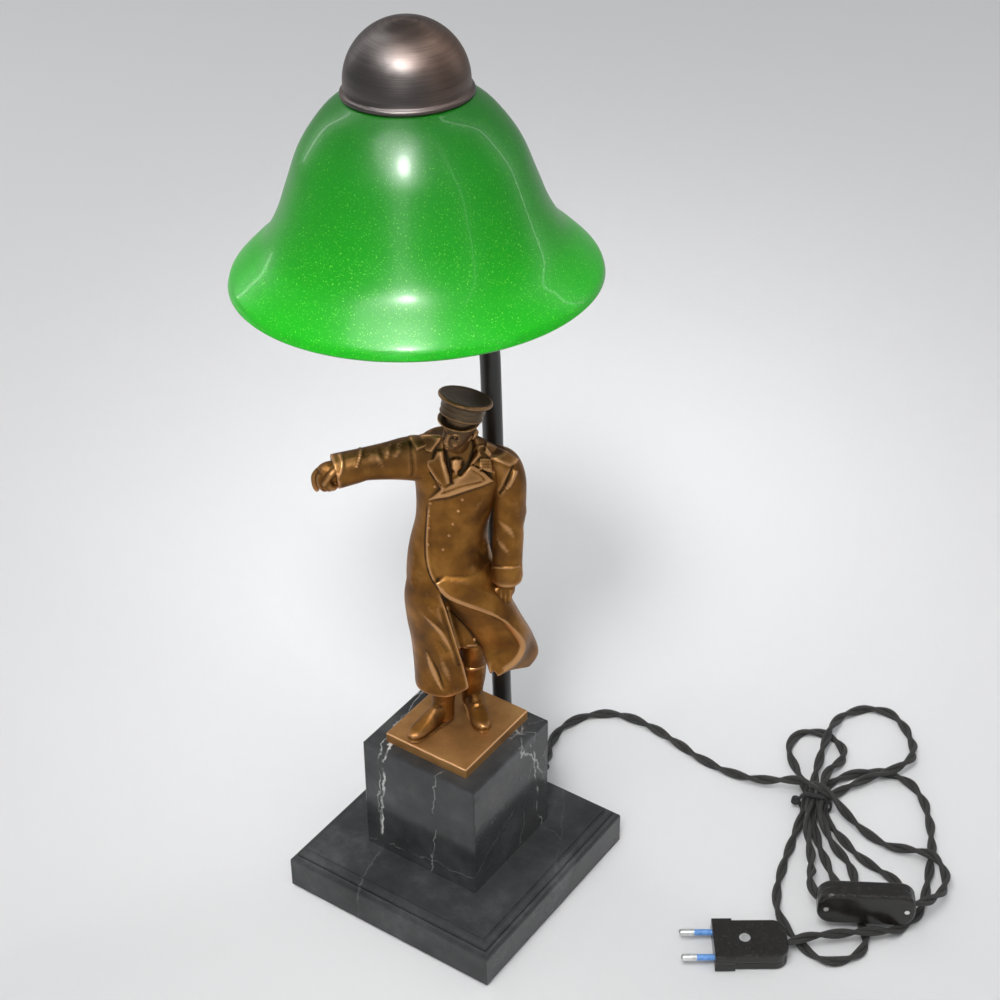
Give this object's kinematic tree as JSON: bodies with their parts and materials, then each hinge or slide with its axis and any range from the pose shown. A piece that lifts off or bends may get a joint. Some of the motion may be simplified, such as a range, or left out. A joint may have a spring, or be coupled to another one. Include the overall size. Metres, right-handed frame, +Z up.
{
  "type": "table lamp",
  "caption": "Table lamp: a bronze uniformed figure on a square black stone plinth and foot, a bent tube behind it, a green glass bell shade, and a twisted flex with a switch and a plug.",
  "frame": {"origin": "centre of the square foot's underside, on the table", "axes": "+Z up; -Y the foot's front face, +X to its right, so the flex leaves at +Y"},
  "size_m": [0.3452, 0.3801, 0.5383],
  "materials": {
    "stone": "polished black stone with white veins",
    "felt": "felt",
    "bronze": "patinated golden bronze, brighter on its edges",
    "black_lacquer": "near-black lacquer on brass",
    "antique_brass": "antique brass, brushed",
    "plain_brass": "plain turned brass",
    "steel": "zinc plated",
    "green_glass": "mottled green glass, glossy",
    "clear_glass": "frosted",
    "bulb_metal": "drawn",
    "holder_plastic": "moulded",
    "rubber": "soft ring",
    "flex_braid": "braided, twisted pair",
    "black_plastic": "satin moulding",
    "terminal_brass": "bright",
    "pin_metal": "nickel plated",
    "blue_sleeve": "insulating sleeve"
  },
  "bodies": {
    "lamp": {"base_felt": "felt", "base_plate": "stone", "plinth": "stone", "figure_plate": "bronze", "fixing_rod": "steel", "rod_nut_and_washer": "steel", "figure_coat": "bronze", "figure_front_flap": "bronze", "figure_back_skirt": "bronze", "figure_sleeve_raised": "bronze", "figure_hand_raised": "bronze", "figure_sleeve_lowered": "bronze", "figure_hand_lowered": "bronze", "figure_boot_right": "bronze", "figure_boot_left": "bronze", "figure_head": "bronze", "figure_cap": "bronze", "pole_collar": "black_lacquer", "pole_tube": "black_lacquer", "foot_nipple": "plain_brass", "foot_ring_nut": "plain_brass", "top_nipple": "plain_brass", "top_ring_nut": "plain_brass", "inner_lead": "flex_braid", "gallery_plate": "plain_brass", "gallery_gasket": "rubber", "shade_glass": "green_glass", "dome_cap": "antique_brass", "cap_bridge": "plain_brass", "cap_nipple": "plain_brass", "holder_shell": "holder_plastic", "holder_ring": "holder_plastic", "holder_core": "holder_plastic", "holder_sleeve": "plain_brass", "holder_contact": "plain_brass", "holder_cap": "holder_plastic", "bulb_glass": "clear_glass", "bulb_cap": "bulb_metal", "cord_gland": "black_plastic", "cord_lamp_to_switch": "flex_braid", "cord_switch_to_plug": "flex_braid", "cord_tie": "black_plastic", "switch_shell_front": "black_plastic", "switch_shell_back": "black_plastic", "switch_screws": "steel", "switch_terminals": "terminal_brass", "plug_body": "black_plastic", "plug_cover": "black_plastic", "plug_pins": "pin_metal", "pin_sleeves": "blue_sleeve", "plug_screw": "steel"},
    "rocker": {"switch_rocker": "black_plastic"}
  },
  "joints": [
    {"name": "rocker_tilt", "type": "hinge", "parent": "lamp", "child": "rocker", "pos_m": [0.2206, 0.09423, 0.0175], "axis": [0, 0, 1], "range_deg": [-14, 0]}
  ]
}
